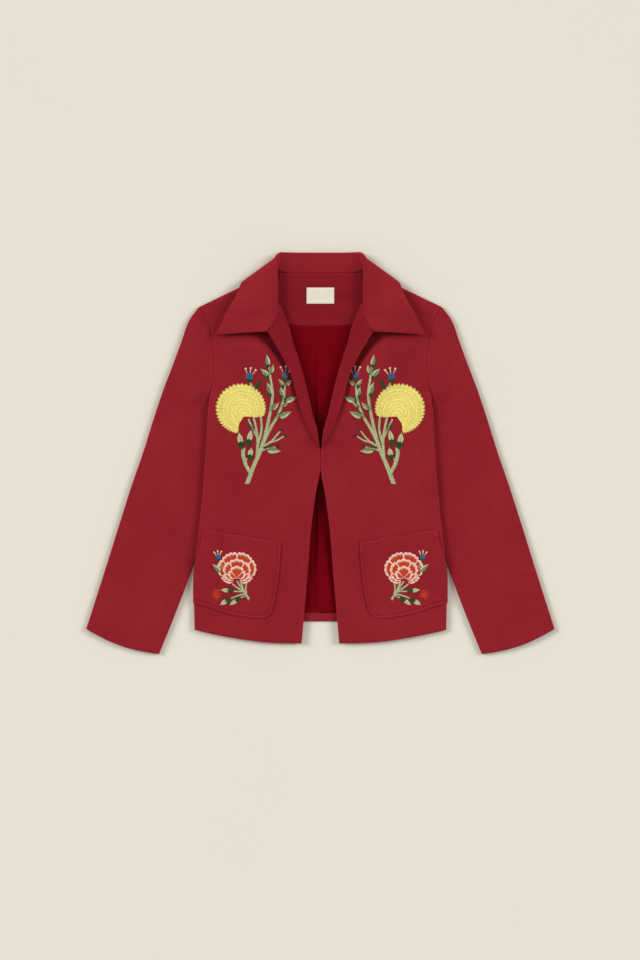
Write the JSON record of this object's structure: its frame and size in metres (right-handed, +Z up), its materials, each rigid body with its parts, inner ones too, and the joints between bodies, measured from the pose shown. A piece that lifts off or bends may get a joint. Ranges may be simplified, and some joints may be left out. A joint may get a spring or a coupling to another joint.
{
  "type": "western jacket",
  "caption": "Cropped open-front jacket laid flat, with a pointed collar, narrow turned lapels, set-in sleeves and patch pockets reaching the side seams, embroidered with flowers.",
  "frame": {"origin": "centre of the jacket's bounding box, on the surface that it lies on", "axes": "+X towards the wearer's left sleeve, across the jacket; +Y from the hem towards the neck; +Z up from the surface, through the cloth, back panel first"},
  "size_m": [0.82, 0.7025, 0.019],
  "materials": {
    "shell": "matte",
    "lining": "satin",
    "label": "matte",
    "embroidery": "satin"
  },
  "bodies": {
    "root": {"back": "shell", "front_left": "shell", "front_right": "shell", "facing_left": "shell", "facing_right": "shell", "collar": "shell", "sleeve_left": "shell", "sleeve_right": "shell", "pocket_left": "shell", "pocket_right": "shell", "back_facing": "shell", "back_lining": "lining", "label": "label"}
  },
  "joints": []
}
